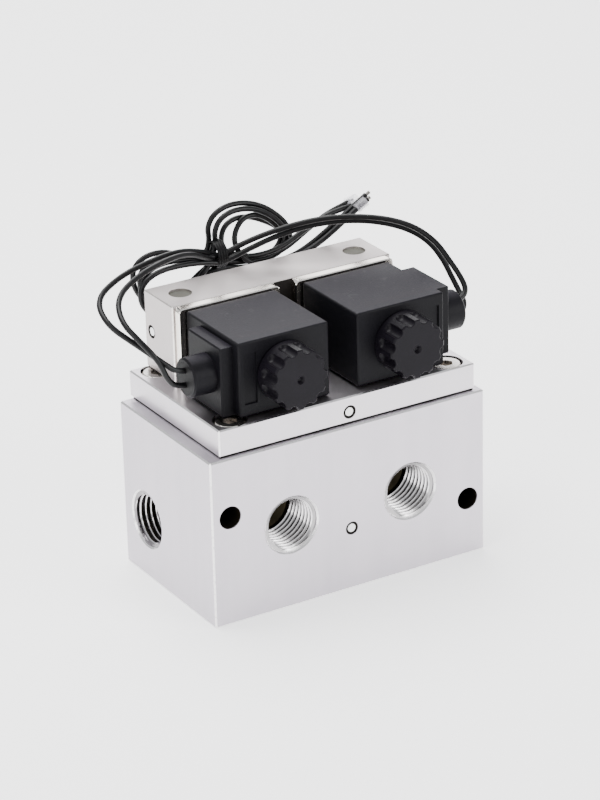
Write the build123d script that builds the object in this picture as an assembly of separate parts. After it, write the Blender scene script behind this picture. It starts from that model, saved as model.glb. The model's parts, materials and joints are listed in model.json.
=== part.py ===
from build123d import *
import math
import os

# A double pilot-operated 3/2 solenoid valve, in millimetres.
# Origin: centre of the body's base face. +X right along the port face, +Y to the back, +Z up.

# ---- body -----------------------------------------------------------------------------------
BODY_LENGTH = 71.2
BODY_DEPTH = 40.9
BODY_HEIGHT = 40.0
BODY_CHAMFER = 0.35

PORT_RADIUS = 6.58            # G1/4: 13.16 mm at the thread's root
PORT_MOUTH_RADIUS = 6.98
PORT_DEPTH = 12.0
PORT_HEIGHT = 20.0            # outlets A and B, on the front face
GALLERY_STEP = 5.5            # supply lies this far below the outlets, exhaust as far above
GALLERY_Y = 10.0
GALLERY_RADIUS = 2.6
MOUNT_HOLE_RADIUS = 2.7       # M5 clearance
MOUNT_HOLE_X = 31.0
MOUNT_HOLE_STEP = 6.0         # left hole above, right hole below the outlets' height
PORT_BOTTOM_INSET = 0.9       # the drill point's cone starts this far inside the thread's root
PORT_BOTTOM_DEPTH = 2.2
VENT_FROM_SPOOL = 7.8         # the space under each piston vents into the exhaust gallery

FEED_RADIUS = 1.2             # pilot air's drillings
SIGNAL_RADIUS = 0.8
PLUG_HOLE_RADIUS = 1.6
PLUG_HOLE_DEPTH = 3.2
PLUG_RADIUS = 1.5
PLUG_LENGTH = 2.8
PLUG_FACE_RADIUS = 1.02       # the plug's face stands inside a narrow groove
PLUG_GROOVE_DEPTH = 0.55
PLUG_SUNK = 0.1
FEED_RISE = 0.5               # the feed drilling lies this far above the supply gallery's axis

SPOOL_X = 15.5
SPOOL_Y = 3.5
SPOOL_BORE_RADIUS = 6.0
SPOOL_BORE_FLOOR = 2.4
SPOOL_STROKE = 5.6
CHAMBER_RADIUS = 9.0
CHAMBER_FLOOR = 29.8

# ---- plate and pilot block, which sit a little right and back of the body's centre -----------
STACK_X = 0.6
STACK_Y = 0.8
GASKET_THICKNESS = 0.3
PLATE_LENGTH = 66.3
PLATE_DEPTH = 40.5
PLATE_TOP = 46.6
PLATE_BOTTOM = BODY_HEIGHT + GASKET_THICKNESS
PLATE_SCREW_DX = 28.05
PLATE_SCREW_DY = 16.2
PLATE_CHAMFER = 0.3
PLATE_CHANNEL_Z = 42.9
PLATE_COUNTERBORE_RADIUS = 3.9
PLATE_COUNTERBORE_DEPTH = 4.2
GASKET_INSET = 0.35
RISER_Y = -10.0

BLOCK_LENGTH = 57.0
BLOCK_FRONT = 8.0
BLOCK_BACK = 21.0
BLOCK_TOP = 65.1
BLOCK_SCREW_DX = 22.8
BLOCK_SCREW_Y = 14.5
BLOCK_CHAMFER = 0.25
BLOCK_COUNTERBORE_RADIUS = 2.65
BLOCK_COUNTERBORE_DEPTH = 7.5
SUPPLY_Y = 18.1               # the cross channel in the block, and the drilling that feeds it
SIGNAL_Y = 11.6               # from each pilot's cavity down to its piston
CHANNEL_RADIUS = 1.4

# ---- pilots: everything on one level axis that points to the front -----------------------------
PILOT_SPACING = 30.0
AXIS_Z = 55.85
CAVITY_RADIUS = 5.0
SEAT_Y = 11.4
CAVITY_END = 13.0
TUBE_BORE_RADIUS = 3.2
TUBE_RADIUS = 4.0
CORE_FACE_Y = -9.0
PLUNGER_RADIUS = 3.12
PLUNGER_STROKE = 0.8
YOKE_WIDTH = 26.0
YOKE_HEIGHT = 18.3
YOKE_FRONT = 5.9

COIL_WIDTH = 22.8
COIL_HEIGHT = 17.4
COIL_FRONT = -17.25
COIL_BACK = 5.6
PAD_OUT = 14.5                # side pad's face, from the pilot's axis
PAD_FRONT = -14.75
PAD_BACK = -0.65
PAD_DROP = 1.3                # the pad stops this far short of one edge of the case
BOSS_OUT = 20.1
BOSS_RADIUS = 4.5
BOSS_Y = -8.95
LEAD_OFFSET = 1.7             # each lead's place above and below the boss's axis

NUT_RADIUS = 7.0
NUT_FRONT = -24.25
NUT_BACK = COIL_FRONT - 0.15
NUT_RING_FRONT = -19.6
NUT_SCOOPS = 12
SCOOP_RADIUS = 1.3
SCOOP_REACH = 0.35            # the scoops' axes lie this far outside the nut's rim
NUT_CHAMFER = 0.3
DIMPLE_RADIUS = 0.95
DIMPLE_DEPTH = 0.75
DIMPLE_FLOOR_RADIUS = 0.35
NUT_BORE_RADIUS = 2.56
STUD_RADIUS = 2.5

# ---- leads --------------------------------------------------------------------------------------
LEAD_DIAMETER = 1.3
LEAD_SEAT = 1.6               # how deep each lead sits in the grommet

SIDES = {"left": -1, "right": 1}


def pilot_x(side):
    return STACK_X + side * PILOT_SPACING / 2


def rod(radius, start, end):
    """A cylinder of this radius from one point to another, along any direction."""
    start = Vector(start)
    run = Vector(end) - start
    return Solid.make_cylinder(radius, run.length, Plane(origin=start, z_dir=run))


def cone(radius_a, radius_b, start, end):
    start = Vector(start)
    run = Vector(end) - start
    return Solid.make_cone(radius_a, radius_b, run.length, Plane(origin=start, z_dir=run))


def block(x0, x1, y0, y1, z0, z1):
    """A box between two corners."""
    centre = Vector((x0 + x1) / 2, (y0 + y1) / 2, (z0 + z1) / 2)
    return Pos(centre) * Box(x1 - x0, y1 - y0, z1 - z0)


def ring(radius, section, centre, normal=(0, 0, 1)):
    """An O-ring: a round section of this radius swept round a circle."""
    return Solid.make_torus(radius, section, Plane(origin=Vector(centre), z_dir=Vector(normal)))


def one(shape):
    """The single solid in a result, cleaned."""
    solids = shape.solids()
    assert len(solids) == 1, len(solids)
    return solids[0]


def group(solids):
    return Compound(children=list(solids))


def threaded_port(mouth, inward):
    """A G1/4 port at its thread's root diameter, with a chamfered mouth and a drilled end."""
    mouth = Vector(mouth)
    inward = Vector(inward)
    end = mouth + inward * PORT_DEPTH
    lip = PORT_MOUTH_RADIUS - PORT_RADIUS
    hole = rod(PORT_RADIUS, mouth - inward, end)
    hole += cone(PORT_MOUTH_RADIUS + 1, PORT_RADIUS, mouth - inward, mouth + inward * lip)
    bottom = end + inward * PORT_BOTTOM_DEPTH
    hole += cone(PORT_RADIUS - PORT_BOTTOM_INSET, GALLERY_RADIUS, end - inward * 0.01, bottom)
    return hole


def valve_body():
    box = block(-BODY_LENGTH / 2, BODY_LENGTH / 2, -BODY_DEPTH / 2, BODY_DEPTH / 2, 0, BODY_HEIGHT)
    solid = chamfer(box.edges(), BODY_CHAMFER)
    front = -BODY_DEPTH / 2
    supply_z = PORT_HEIGHT - GALLERY_STEP
    exhaust_z = PORT_HEIGHT + GALLERY_STEP
    for side in SIDES.values():
        x = side * SPOOL_X
        solid -= threaded_port((x, front, PORT_HEIGHT), (0, 1, 0))
        solid -= rod(GALLERY_RADIUS, (x, front + 3, PORT_HEIGHT), (x, SPOOL_Y, PORT_HEIGHT))
        solid -= rod(SPOOL_BORE_RADIUS, (x, SPOOL_Y, SPOOL_BORE_FLOOR), (x, SPOOL_Y, BODY_HEIGHT))
        solid -= rod(CHAMBER_RADIUS, (x, SPOOL_Y, CHAMBER_FLOOR), (x, SPOOL_Y, BODY_HEIGHT + 1))
        vent_y = SPOOL_Y + VENT_FROM_SPOOL
        solid -= rod(SIGNAL_RADIUS, (x, vent_y, exhaust_z), (x, vent_y, CHAMBER_FLOOR + 1))
        mount_z = PORT_HEIGHT - side * MOUNT_HOLE_STEP
        mount_x = side * MOUNT_HOLE_X
        solid -= rod(MOUNT_HOLE_RADIUS, (mount_x, front - 1, mount_z), (mount_x, -front + 1, mount_z))
    left = -BODY_LENGTH / 2
    solid -= threaded_port((left, GALLERY_Y, supply_z), (1, 0, 0))
    solid -= rod(GALLERY_RADIUS, (left + 3, GALLERY_Y, supply_z), (SPOOL_X, GALLERY_Y, supply_z))
    solid -= threaded_port((-left, GALLERY_Y, exhaust_z), (-1, 0, 0))
    solid -= rod(GALLERY_RADIUS, (-left - 3, GALLERY_Y, exhaust_z), (-SPOOL_X, GALLERY_Y, exhaust_z))
    # pilot air: a plugged drilling into the supply gallery, and a riser to the plate
    feed_z = supply_z + FEED_RISE
    solid -= rod(FEED_RADIUS, (0, front - 1, feed_z), (0, GALLERY_Y, feed_z))
    solid -= rod(PLUG_HOLE_RADIUS, (0, front - 1, feed_z), (0, front + PLUG_HOLE_DEPTH, feed_z))
    solid -= rod(FEED_RADIUS, (0, RISER_Y, feed_z), (0, RISER_Y, BODY_HEIGHT + 1))
    for x, y in plate_screw_places():
        solid -= rod(2.0, (x, y, BODY_HEIGHT - 7.6), (x, y, BODY_HEIGHT + 1))
    return one(solid)


def plate_screw_places():
    return [
        (STACK_X + i * PLATE_SCREW_DX, STACK_Y + j * PLATE_SCREW_DY) for j in (-1, 1) for i in (-1, 1)
    ]


def block_screw_places():
    return [(STACK_X + i * BLOCK_SCREW_DX, BLOCK_SCREW_Y) for i in (-1, 1)]


def plate_gasket():
    inset = GASKET_INSET
    half_x = PLATE_LENGTH / 2 - inset
    back = min(STACK_Y + PLATE_DEPTH / 2, BODY_DEPTH / 2) - inset
    solid = block(
        STACK_X - half_x, STACK_X + half_x,
        STACK_Y - PLATE_DEPTH / 2 + inset, back, BODY_HEIGHT, PLATE_BOTTOM,
    )
    low = BODY_HEIGHT - 1
    high = PLATE_BOTTOM + 1
    for side in SIDES.values():
        solid -= rod(CHAMBER_RADIUS, (side * SPOOL_X, SPOOL_Y, low), (side * SPOOL_X, SPOOL_Y, high))
    solid -= rod(1.8, (0, RISER_Y, low), (0, RISER_Y, high))
    for x, y in plate_screw_places():
        solid -= rod(2.4, (x, y, low), (x, y, high))
    return one(solid)


def pilot_plate():
    half_x = PLATE_LENGTH / 2
    front = STACK_Y - PLATE_DEPTH / 2
    back = STACK_Y + PLATE_DEPTH / 2
    box = block(STACK_X - half_x, STACK_X + half_x, front, back, PLATE_BOTTOM, PLATE_TOP)
    solid = chamfer(box.edges(), PLATE_CHAMFER)
    for x, y in plate_screw_places():
        solid -= rod(2.2, (x, y, PLATE_BOTTOM - 1), (x, y, PLATE_TOP + 1))
        seat = PLATE_TOP - PLATE_COUNTERBORE_DEPTH
        solid -= rod(PLATE_COUNTERBORE_RADIUS, (x, y, seat), (x, y, PLATE_TOP + 1))
    for x, y in block_screw_places():
        solid -= rod(1.25, (x, y, PLATE_TOP - 5.0), (x, y, PLATE_TOP + 1))
    # pilot air: up from the body, back along the plugged channel, up into the block
    z = PLATE_CHANNEL_Z
    solid -= rod(FEED_RADIUS, (STACK_X, front - 1, z), (STACK_X, SUPPLY_Y, z))
    solid -= rod(PLUG_HOLE_RADIUS, (STACK_X, front - 1, z), (STACK_X, front + PLUG_HOLE_DEPTH, z))
    solid -= rod(FEED_RADIUS, (STACK_X / 2, RISER_Y, PLATE_BOTTOM - 1), (STACK_X / 2, RISER_Y, z))
    solid -= rod(FEED_RADIUS, (STACK_X, SUPPLY_Y, z), (STACK_X, SUPPLY_Y, PLATE_TOP + 1))
    for side in SIDES.values():
        x = pilot_x(side)
        solid -= rod(SIGNAL_RADIUS, (x, SIGNAL_Y, PLATE_BOTTOM - 1), (x, SIGNAL_Y, PLATE_TOP + 1))
    return one(solid)


def cap_screw(x, y, seat, tip, shank, head_radius, head_height, socket_radius):
    """A socket head cap screw, standing on its seat with its tip below."""
    top = seat + head_height
    head = rod(head_radius, (x, y, seat), (x, y, top))
    head = chamfer(head.edges().group_by(Axis.Z)[-1], 0.3)
    socket = extrude(Plane(origin=(x, y, top)) * RegularPolygon(socket_radius, 6), -head_height * 0.55)
    screw = head + rod(shank, (x, y, tip), (x, y, seat + 0.5)) - socket
    return one(screw)


def plate_screws():
    seat = PLATE_TOP - PLATE_COUNTERBORE_DEPTH
    tip = BODY_HEIGHT - 7.2
    return group(
        cap_screw(x, y, seat, tip, 1.95, 3.5, 4.0, 1.73) for x, y in plate_screw_places()
    )


def block_screws():
    seat = BLOCK_TOP - BLOCK_COUNTERBORE_DEPTH
    tip = PLATE_TOP - 4.6
    return group(
        cap_screw(x, y, seat, tip, 1.2, 2.25, 2.5, 1.15) for x, y in block_screw_places()
    )


def pilot_block():
    half_x = BLOCK_LENGTH / 2
    box = block(STACK_X - half_x, STACK_X + half_x, BLOCK_FRONT, BLOCK_BACK, PLATE_TOP, BLOCK_TOP)
    solid = chamfer(box.edges(), BLOCK_CHAMFER)
    for side in SIDES.values():
        x = pilot_x(side)
        cavity = rod(CAVITY_RADIUS, (x, BLOCK_FRONT - 1, AXIS_Z), (x, CAVITY_END, AXIS_Z))
        cavity -= rod(1.6, (x, SEAT_Y, AXIS_Z), (x, CAVITY_END + 1, AXIS_Z))
        solid -= cavity
        solid -= rod(0.6, (x, SEAT_Y - 1, AXIS_Z), (x, SUPPLY_Y, AXIS_Z))
        solid -= rod(SIGNAL_RADIUS, (x, SIGNAL_Y, PLATE_TOP - 1), (x, SIGNAL_Y, AXIS_Z - 3.5))
        solid -= rod(1.9, (x, SIGNAL_Y, PLATE_TOP - 1), (x, SIGNAL_Y, PLATE_TOP + 0.9))
    left = STACK_X - half_x
    solid -= rod(CHANNEL_RADIUS, (left - 1, SUPPLY_Y, AXIS_Z), (pilot_x(1) + 1, SUPPLY_Y, AXIS_Z))
    solid -= rod(PLUG_HOLE_RADIUS, (left - 1, SUPPLY_Y, AXIS_Z), (left + PLUG_HOLE_DEPTH, SUPPLY_Y, AXIS_Z))
    solid -= rod(FEED_RADIUS, (STACK_X, SUPPLY_Y, PLATE_TOP - 1), (STACK_X, SUPPLY_Y, AXIS_Z))
    solid -= rod(2.1, (STACK_X, SUPPLY_Y, PLATE_TOP - 1), (STACK_X, SUPPLY_Y, PLATE_TOP + 0.9))
    for x, y in block_screw_places():
        solid -= rod(1.35, (x, y, PLATE_TOP - 1), (x, y, BLOCK_TOP))
        seat = BLOCK_TOP - BLOCK_COUNTERBORE_DEPTH
        solid -= rod(BLOCK_COUNTERBORE_RADIUS, (x, y, seat), (x, y, BLOCK_TOP + 1))
    return one(solid)


def block_seals():
    """Three O-rings under the block, round its supply and its two signal drillings."""
    z = PLATE_TOP + 0.44
    seals = [ring(1.6, 0.42, (STACK_X, SUPPLY_Y, z))]
    for side in SIDES.values():
        seals.append(ring(1.4, 0.42, (pilot_x(side), SIGNAL_Y, z)))
    return group(seals)


def drilling_plug(face, inward):
    """A pressed plug, just under the face it closes, with a narrow groove round its face."""
    inward = Vector(inward)
    face = Vector(face) + inward * PLUG_SUNK
    plug = rod(PLUG_FACE_RADIUS, face, face + inward)
    plug = fillet(plug.edges().sort_by(Axis(face, inward))[0], 0.12)
    plug += rod(PLUG_RADIUS, face + inward * PLUG_GROOVE_DEPTH, face + inward * PLUG_LENGTH)
    return one(plug)


def drilling_plugs():
    front = -BODY_DEPTH / 2
    plate_front = STACK_Y - PLATE_DEPTH / 2
    block_left = STACK_X - BLOCK_LENGTH / 2
    return group([
        drilling_plug((0, front, PORT_HEIGHT - GALLERY_STEP + FEED_RISE), (0, 1, 0)),
        drilling_plug((STACK_X, plate_front, PLATE_CHANNEL_Z), (0, 1, 0)),
        drilling_plug((block_left, SUPPLY_Y, AXIS_Z), (1, 0, 0)),
    ])


# ---- spool, piston and return spring, one set on each side ---------------------------------------
SPOOL_SEAL_HEIGHTS = (28.45, 17.25, 11.3)
PISTON_BOTTOM = 35.7
PISTON_TOP = 39.7
SPRING_SEAT = 13.0


def spool(side):
    x = side * SPOOL_X
    at = (x, SPOOL_Y)
    land = SPOOL_BORE_RADIUS - 0.08
    solid = rod(3.0, (*at, 10.6), (*at, PISTON_BOTTOM))
    solid += rod(land, (*at, 27.7), (*at, 29.3))
    solid += rod(land, (*at, 10.6), (*at, 18.0))
    for z in SPOOL_SEAL_HEIGHTS:
        solid -= rod(land + 1, (*at, z - 0.5), (*at, z + 0.5)) - rod(5.0, (*at, z - 1), (*at, z + 1))
    solid += rod(1.5, (*at, PISTON_BOTTOM - 1), (*at, PISTON_TOP - 0.6))
    solid -= rod(4.3, (*at, 10.0), (*at, SPRING_SEAT))
    return one(solid)


def spool_seals(side):
    return group(ring(5.49, 0.47, (side * SPOOL_X, SPOOL_Y, z)) for z in SPOOL_SEAL_HEIGHTS)


def piston(side):
    at = (side * SPOOL_X, SPOOL_Y)
    solid = rod(CHAMBER_RADIUS - 0.08, (*at, PISTON_BOTTOM), (*at, PISTON_TOP))
    solid = chamfer(solid.edges(), 0.3)
    middle = (PISTON_BOTTOM + PISTON_TOP) / 2
    groove = rod(CHAMBER_RADIUS, (*at, middle - 0.5), (*at, middle + 0.5))
    solid -= groove - rod(8.0, (*at, middle - 1), (*at, middle + 1))
    solid -= rod(1.55, (*at, PISTON_BOTTOM - 1), (*at, PISTON_TOP + 1))
    return one(solid)


def piston_seal(side):
    middle = (PISTON_BOTTOM + PISTON_TOP) / 2
    return ring(8.49, 0.47, (side * SPOOL_X, SPOOL_Y, middle))


def coil_spring(radius, wire, start, end, turns):
    """A compression spring between two points, its wire just inside both."""
    start = Vector(start)
    run = Vector(end) - start
    rise = run.length - 2 * wire
    path = Edge.make_helix(
        pitch=rise / turns, height=rise, radius=radius,
        center=start + run.normalized() * wire, normal=run.normalized(),
    )
    section = Plane(origin=path @ 0, z_dir=path % 0) * Circle(wire)
    return one(sweep(section, path=path))


def return_spring(side):
    at = (side * SPOOL_X, SPOOL_Y)
    return coil_spring(3.5, 0.4, (*at, SPOOL_BORE_FLOOR), (*at, SPRING_SEAT), 5)


# ---- pilot operator, one on each side --------------------------------------------------------------
def armature_tube(side):
    x = pilot_x(side)
    solid = rod(TUBE_RADIUS, (x, BLOCK_FRONT + 1, AXIS_Z), (x, CORE_FACE_Y - 3, AXIS_Z))
    solid += rod(CAVITY_RADIUS - 0.1, (x, BLOCK_FRONT + 1.6, AXIS_Z), (x, BLOCK_FRONT, AXIS_Z))
    solid -= rod(TUBE_BORE_RADIUS, (x, BLOCK_FRONT + 3, AXIS_Z), (x, CORE_FACE_Y - 5, AXIS_Z))
    return one(solid)


def fixed_core(side):
    x = pilot_x(side)
    stop = CORE_FACE_Y - 3
    solid = rod(TUBE_BORE_RADIUS - 0.02, (x, CORE_FACE_Y, AXIS_Z), (x, stop - 0.02, AXIS_Z))
    solid += rod(TUBE_RADIUS, (x, stop - 0.02, AXIS_Z), (x, COIL_FRONT, AXIS_Z))
    solid += rod(STUD_RADIUS, (x, COIL_FRONT + 1, AXIS_Z), (x, NUT_FRONT + 1.9, AXIS_Z))
    return one(solid)


def tube_seal(side):
    return ring(4.35, 0.42, (pilot_x(side), BLOCK_FRONT + 2.05, AXIS_Z), (0, 1, 0))


def plunger(side):
    x = pilot_x(side)
    rear = SEAT_Y - 0.5
    front = CORE_FACE_Y + 1.0
    solid = rod(PLUNGER_RADIUS, (x, rear, AXIS_Z), (x, front, AXIS_Z))
    solid = chamfer(solid.edges(), 0.25)
    solid -= rod(2.25, (x, rear + 1, AXIS_Z), (x, rear - 1.4, AXIS_Z))
    solid -= rod(1.7, (x, front - 1, AXIS_Z), (x, front + 8, AXIS_Z))
    for turn in (0, 180):
        # flats that let the air past
        flat = block(x - 4, x + 4, front - 1, rear + 1, AXIS_Z + 2.8, AXIS_Z + 4)
        solid -= flat.rotate(Axis((x, 0, AXIS_Z), (0, 1, 0)), turn)
    return one(solid)


def plunger_seal(side):
    x = pilot_x(side)
    return rod(2.2, (x, SEAT_Y - 0.05, AXIS_Z), (x, SEAT_Y - 1.85, AXIS_Z))


def plunger_spring(side):
    x = pilot_x(side)
    return coil_spring(1.25, 0.17, (x, CORE_FACE_Y + 0.02, AXIS_Z), (x, CORE_FACE_Y + 8.95, AXIS_Z), 7)


def yoke_plate(side):
    """Nickel-plated plate that closes the coil's magnetic circuit and clamps the tube's flange."""
    x = pilot_x(side)
    half = YOKE_WIDTH / 2
    box = block(x - half, x + half, YOKE_FRONT, BLOCK_FRONT, AXIS_Z - 9.15, AXIS_Z + 9.15)
    solid = fillet(box.edges().filter_by(Axis.Y), 1.2)
    solid = chamfer(solid.faces().sort_by(Axis.Y)[0].edges(), 0.2)
    solid -= rod(TUBE_RADIUS + 0.1, (x, YOKE_FRONT - 1, AXIS_Z), (x, BLOCK_FRONT + 1, AXIS_Z))
    return one(solid)


def turned(shape, side):
    """A coil part, drawn with its boss to the left round a Y axis through the origin, in its place.

    The right coil is the same part turned half a turn about that axis."""
    if side > 0:
        shape = shape.rotate(Axis.Y, 180)
    return Pos(pilot_x(side), 0, AXIS_Z) * shape


def coil_case(side):
    half_x = COIL_WIDTH / 2
    half_z = COIL_HEIGHT / 2
    box = block(-half_x, half_x, COIL_FRONT, COIL_BACK, -half_z, half_z)
    solid = fillet(box.edges(), 0.5)
    pad = block(-PAD_OUT, -half_x + 2, PAD_FRONT, PAD_BACK, -half_z, half_z - PAD_DROP)
    solid += chamfer(pad.edges().group_by(Axis.X)[0], 0.3)
    boss = rod(BOSS_RADIUS, (-PAD_OUT + 1, BOSS_Y, 0), (-BOSS_OUT, BOSS_Y, 0))
    solid += chamfer(boss.edges().group_by(Axis.X)[0], 0.4)
    # moulded label recess on the front face
    solid -= block(-10.1, -6.95, COIL_FRONT - 1, COIL_FRONT + 0.4, -5.95, 5.95)
    # the winding's space, open at the back, and the tube's hole through the front wall
    solid -= block(-9.9, 9.9, COIL_FRONT + 1.25, COIL_BACK + 1, -7.5, 7.5)
    solid -= rod(TUBE_RADIUS + 0.15, (0, COIL_FRONT - 1, 0), (0, COIL_BACK, 0))
    solid -= rod(BOSS_RADIUS - 0.9, (-BOSS_OUT - 1, BOSS_Y, 0), (-BOSS_OUT + 3, BOSS_Y, 0))
    return one(turned(solid, side))


def coil_frame(side):
    """The steel strap inside the case: a front wall and two side legs that reach the yoke plate."""
    front = COIL_FRONT + 1.3
    solid = block(-9.8, 9.8, front, COIL_BACK, -6.8, 6.8)
    solid -= block(-8.3, 8.3, front + 1.5, COIL_BACK + 1, -8, 8)
    solid -= rod(TUBE_RADIUS + 0.15, (0, front - 1, 0), (0, front + 3, 0))
    return one(turned(solid, side))


def coil_bobbin(side):
    front = COIL_FRONT + 2.85
    back = COIL_BACK - 0.1
    solid = rod(4.95, (0, front, 0), (0, back, 0))
    for end, inner in ((front, front + 1), (back, back - 1)):
        solid += rod(7.3, (0, end, 0), (0, inner, 0))
    solid -= rod(TUBE_RADIUS + 0.15, (0, front - 1, 0), (0, back + 1, 0))
    return one(turned(solid, side))


def coil_winding(side):
    front = COIL_FRONT + 3.9
    back = COIL_BACK - 1.15
    solid = rod(7.0, (0, front, 0), (0, back, 0)) - rod(5.0, (0, front - 1, 0), (0, back + 1, 0))
    return one(turned(solid, side))


def lead_grommet(side):
    """The rubber plug in the boss's end, which holds the two leads."""
    face = -BOSS_OUT
    solid = rod(BOSS_RADIUS - 0.95, (face, BOSS_Y, 0), (face + 2.95, BOSS_Y, 0))
    for z in (-LEAD_OFFSET, LEAD_OFFSET):
        solid -= rod(LEAD_DIAMETER / 2, (face - 1, BOSS_Y, z), (face + LEAD_SEAT, BOSS_Y, z))
    return one(turned(solid, side))


def nut_scoop(x, z):
    """One finger scoop: it runs in from the nut's front and ends in a round against the ring."""
    start = (x, NUT_FRONT - 1, z)
    end = (x, NUT_RING_FRONT - SCOOP_RADIUS / 2, z)
    return rod(SCOOP_RADIUS, start, end) + Pos(*end) * Sphere(SCOOP_RADIUS)


def coil_nut(side):
    """A knob nut: a plain ring at the back, scooped grips, a blind thread and a small dimple."""
    x = pilot_x(side)
    solid = rod(NUT_RADIUS, (x, NUT_BACK, AXIS_Z), (x, NUT_FRONT, AXIS_Z))
    solid = chamfer(solid.edges(), NUT_CHAMFER)
    reach = NUT_RADIUS + SCOOP_REACH
    for k in range(NUT_SCOOPS):
        angle = 2 * math.pi * (k + 0.5) / NUT_SCOOPS
        solid -= nut_scoop(x + reach * math.cos(angle), AXIS_Z + reach * math.sin(angle))
    solid = chamfer(solid.faces().sort_by(Axis.Y)[0].edges(), 0.12)
    solid -= rod(NUT_BORE_RADIUS, (x, NUT_BACK + 1, AXIS_Z), (x, NUT_FRONT + 1.6, AXIS_Z))
    floor = (x, NUT_FRONT + DIMPLE_DEPTH, AXIS_Z)
    solid -= cone(DIMPLE_RADIUS, DIMPLE_FLOOR_RADIUS, (x, NUT_FRONT, AXIS_Z), floor)
    return one(solid)


# ---- leads: each runs from its boss to the tie, through the hank's two loops, and on to its tip ------
LEAD_ROUTES = {
    "left_a": [
        (-32.9, -8.95, 57.55), (-36.4, -8.95, 57.6), (-39.2, -7.9, 60.2), (-43.8, -4.8, 64.4),
        (-48.2, 0.2, 68.4), (-47.0, 7.0, 71.8), (-38.0, 13.0, 73.0), (-27.5, 18.5, 72.5),
        (-17.7, 22.5, 71.6), (-10.5, 25.0, 69.0), (-5.9, 26.2, 66.7),
    ],
    "left_b": [
        (-32.9, -8.95, 54.15), (-36.6, -8.95, 54.2), (-39.1, -9.3, 56.8), (-40.7, -9.3, 61.2),
        (-43.4, -7.0, 65.2), (-45.6, -1.6, 69.0), (-43.0, 4.8, 72.0), (-34.8, 10.6, 73.2),
        (-25.0, 16.2, 72.8), (-16.6, 21.0, 71.2), (-10.2, 24.0, 67.8), (-5.9, 25.5, 65.2),
    ],
    "right_a": [
        (34.1, -8.95, 57.55), (37.2, -8.95, 57.6), (39.3, -8.0, 59.3), (39.1, -5.8, 61.9),
        (38.0, -2.8, 65.2), (36.6, 0.4, 68.9), (33.6, 4.8, 71.9), (28.8, 9.2, 73.5),
        (22.2, 13.5, 74.1), (15.2, 17.3, 73.7), (8.1, 20.7, 72.0), (0.8, 23.4, 69.7),
        (-5.9, 24.9, 67.0),
    ],
    "right_b": [
        (34.1, -8.95, 54.15), (37.2, -8.95, 54.3), (39.2, -7.5, 55.9), (39.8, -4.6, 57.2),
        (39.4, -1.6, 59.9), (38.5, 0.4, 63.0), (36.4, 3.0, 66.9), (32.8, 6.2, 70.0),
        (27.2, 10.2, 71.9), (21.0, 14.1, 72.4), (14.3, 17.6, 71.8), (7.5, 20.4, 70.2),
        (0.8, 22.5, 68.0), (-5.9, 24.2, 65.3),
    ],
}

TAIL_ROUTES = {
    "left_a": [
        (-5.9, 26.2, 64.3), (-0.3, 26.5, 63.8), (6.6, 26.7, 62.8), (12.6, 26.7, 64.2),
        (17.8, 26.8, 67.1), (23.0, 27.0, 69.8), (26.9, 27.3, 70.8), (30.6, 27.6, 71.5),
    ],
    "left_b": [
        (-5.9, 24.8, 64.3), (0.1, 25.1, 62.6), (5.7, 25.2, 62.2), (12.2, 24.9, 62.4),
        (17.4, 24.5, 64.4), (23.1, 24.2, 67.8), (28.2, 23.8, 71.2), (32.6, 23.7, 73.9),
    ],
    "right_a": [
        (-4.9, 26.9, 66.0), (-0.6, 26.1, 65.0), (3.7, 25.3, 64.6), (10.1, 25.3, 65.1),
        (16.5, 25.4, 68.0), (21.8, 25.5, 70.2), (26.3, 25.5, 71.0), (30.3, 25.5, 71.3),
    ],
    "right_b": [
        (-4.9, 24.2, 65.0), (-0.2, 23.8, 63.6), (5.4, 23.5, 62.7), (11.8, 23.3, 62.7),
        (17.3, 22.9, 64.3), (22.6, 22.5, 67.3), (27.6, 22.2, 70.8), (32.1, 22.1, 73.5),
    ],
}

TIE_AT = (-5.9, 25.6, 65.7)
TIE_WIDTH = 2.6
TIE_RADIUS = 3.0
# how far each sleeve starts before its lead's end and reaches past it
SLEEVES = {"left_a": (1.4, 1.9), "right_a": (1.4, 1.7), "right_b": (4.2, -0.6)}
SLEEVE_RADIUS = 0.95
WIRE_RADIUS = 0.3
WIRE_LENGTH = 1.2


def bend_radii(points):
    """For each corner of a route, the arc that its two runs leave room for."""
    radii = []
    for before, corner, after in zip(points, points[1:], points[2:]):
        run_in = Vector(corner) - Vector(before)
        run_out = Vector(after) - Vector(corner)
        half_turn = math.radians(run_in.get_angle(run_out) / 2)
        radii.append(0.45 * min(run_in.length, run_out.length) / math.tan(half_turn))
    return radii


def lead_tube(name, points):
    """One stretch of lead, its bends as large as the route leaves room for."""
    radii = bend_radii(points)
    path = FilletPolyline(*points, radius=radii)
    section = Plane(origin=path @ 0, z_dir=path % 0) * Circle(LEAD_DIAMETER / 2)
    tube = one(sweep(section, path=path))
    fullness = tube.volume / (math.pi * LEAD_DIAMETER ** 2 / 4 * path.length)
    print(f"{name}: {path.length:.1f} mm long, volume {fullness:.4f} of section x length, radii",
          *(f"{radius:.1f}" for radius in radii))
    return tube


def hank_loop(x, z, half_width, half_height, tilt, y_front, y_back):
    """The outer shape of one tied loop of the four leads: a flat ring that stands behind the block."""
    turn = math.radians(tilt)
    plane = Plane(origin=(x, y_back, z), x_dir=(math.cos(turn), 0, math.sin(turn)), z_dir=(0, -1, 0))
    width = 2.9
    outline = Ellipse(half_width, half_height) - Ellipse(half_width - width, half_height - width)
    return one(extrude(plane * outline, y_back - y_front))


def lead_tie():
    """The wrap that holds the hank at its middle."""
    x, y, z = TIE_AT
    return one(chamfer(
        rod(TIE_RADIUS, (x - TIE_WIDTH / 2, y, z), (x + TIE_WIDTH / 2, y, z)).edges(), 0.4
    ))


def tip_of(name):
    """A tail's last point and the direction it ends in."""
    before, end = (Vector(point) for point in TAIL_ROUTES[name][-2:])
    return end, (end - before).normalized()


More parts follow.
